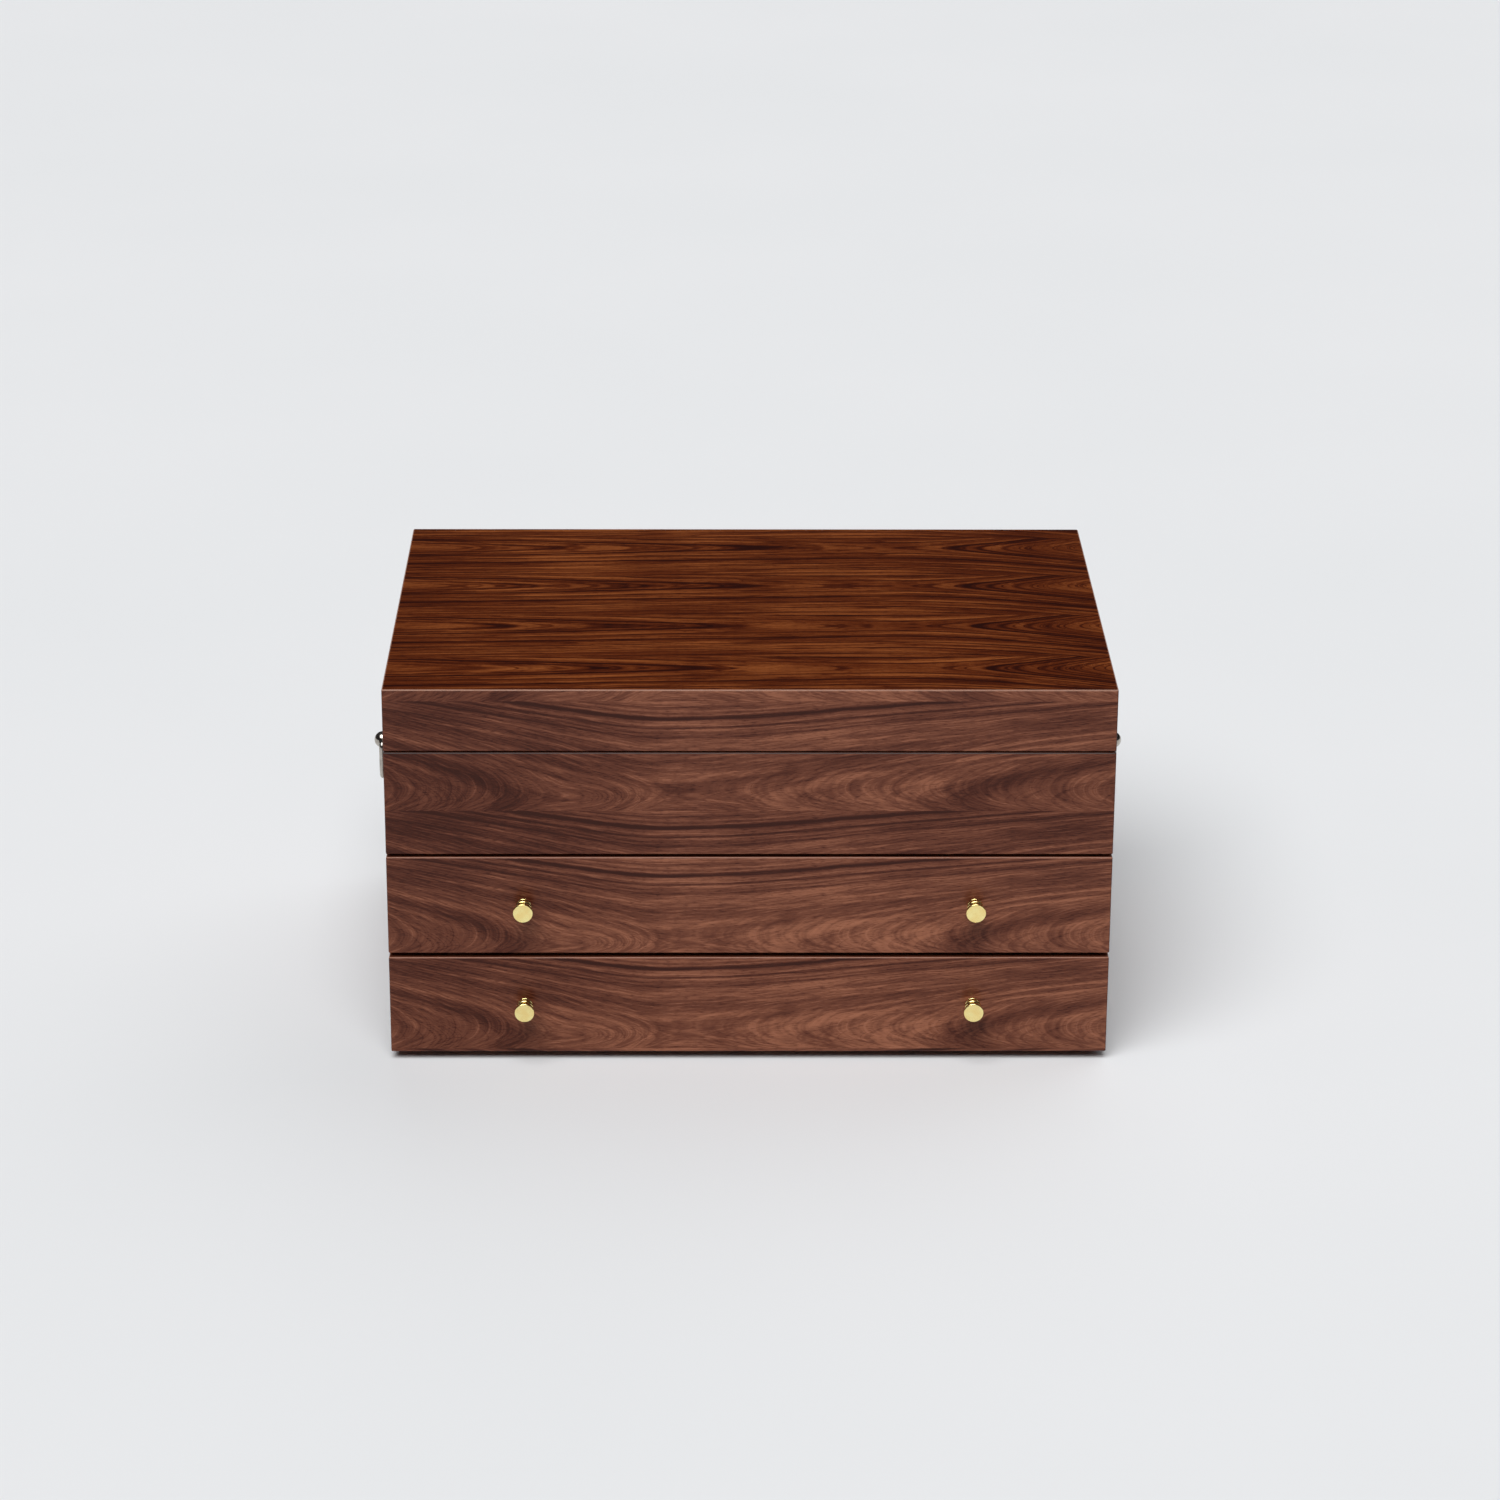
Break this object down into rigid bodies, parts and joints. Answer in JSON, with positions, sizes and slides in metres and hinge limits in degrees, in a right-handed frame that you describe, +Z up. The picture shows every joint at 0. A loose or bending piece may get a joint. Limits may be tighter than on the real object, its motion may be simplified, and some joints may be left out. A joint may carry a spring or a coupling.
{
  "type": "jewellery chest",
  "caption": "Low wooden jewellery chest with a hinged mirror lid over a lined well with ring rolls, overlay-front drawers with brass knobs, and swinging bail handles on its sides.",
  "frame": {"origin": "middle of the whole object's box, on the surface that the feet stand on", "axes": "+X to the right seen from the front, +Y from the front to the back, +Z up"},
  "size_m": [0.4042, 0.2812, 0.2096],
  "materials": {
    "walnut_veneer": "figured walnut veneer under a semi-gloss lacquer",
    "carcass_wood": "plain hidden board, matt sealed",
    "suede": "short-pile suede cloth",
    "brass": "polished and lacquered",
    "nickel_plate": "polished nickel plate, slightly dulled",
    "mirror_glass": "silvered glass",
    "felt_pad": "dense black felt"
  },
  "bodies": {
    "case": {"case_back": "walnut_veneer", "case_bottom": "carcass_wood", "case_side_left": "walnut_veneer", "case_side_right": "walnut_veneer", "drawer_shelf": "carcass_wood", "foot_back_left": "felt_pad", "foot_back_right": "felt_pad", "foot_front_left": "felt_pad", "foot_front_right": "felt_pad", "handle_post_left_back": "nickel_plate", "handle_post_left_front": "nickel_plate", "handle_post_right_back": "nickel_plate", "handle_post_right_front": "nickel_plate", "hinge_left_case_leaf": "brass", "hinge_left_pin": "brass", "hinge_right_case_leaf": "brass", "hinge_right_pin": "brass", "ring_roll_1": "suede", "ring_roll_2": "suede", "ring_roll_3": "suede", "ring_roll_4": "suede", "ring_roll_5": "suede", "upper_front": "walnut_veneer", "well_divider_back_left": "suede", "well_divider_back_right": "suede", "well_divider_front_left": "suede", "well_divider_front_right": "suede", "well_divider_long": "suede", "well_floor": "carcass_wood", "well_lining": "suede"},
    "lid": {"hinge_left_lid_leaf": "brass", "hinge_right_lid_leaf": "brass", "lid_back_rail": "walnut_veneer", "lid_front_rail": "walnut_veneer", "lid_left_rail": "walnut_veneer", "lid_mirror": "mirror_glass", "lid_mirror_frame": "suede", "lid_right_rail": "walnut_veneer", "lid_top": "walnut_veneer"},
    "upper_drawer": {"upper_drawer_back": "carcass_wood", "upper_drawer_bottom": "carcass_wood", "upper_drawer_divider_1": "suede", "upper_drawer_divider_2": "suede", "upper_drawer_front": "walnut_veneer", "upper_drawer_knob_left": "brass", "upper_drawer_knob_right": "brass", "upper_drawer_lining": "suede", "upper_drawer_side_left": "carcass_wood", "upper_drawer_side_right": "carcass_wood"},
    "lower_drawer": {"lower_drawer_back": "carcass_wood", "lower_drawer_bottom": "carcass_wood", "lower_drawer_divider_1": "suede", "lower_drawer_front": "walnut_veneer", "lower_drawer_knob_left": "brass", "lower_drawer_knob_right": "brass", "lower_drawer_lining": "suede", "lower_drawer_side_left": "carcass_wood", "lower_drawer_side_right": "carcass_wood"},
    "handle_left": {"handle_bail_left": "nickel_plate"},
    "handle_right": {"handle_bail_right": "nickel_plate"}
  },
  "joints": [
    {"name": "lid_hinge", "type": "hinge", "parent": "case", "child": "lid", "pos_m": [0, 0.13815, 0.17525], "axis": [-1, 0, 0], "range_deg": [0, 100]},
    {"name": "upper_drawer_slide", "type": "slide", "parent": "case", "child": "upper_drawer", "axis": [0, -1, 0], "range_m": [0, 0.17]},
    {"name": "lower_drawer_slide", "type": "slide", "parent": "case", "child": "lower_drawer", "axis": [0, -1, 0], "range_m": [0, 0.17]},
    {"name": "handle_left_swing", "type": "hinge", "parent": "case", "child": "handle_left", "pos_m": [-0.1976, 0.00295, 0.1449], "axis": [0, 1, 0], "range_deg": [-8, 188]},
    {"name": "handle_right_swing", "type": "hinge", "parent": "case", "child": "handle_right", "pos_m": [0.1976, 0.00295, 0.1449], "axis": [0, -1, 0], "range_deg": [-8, 188]}
  ]
}
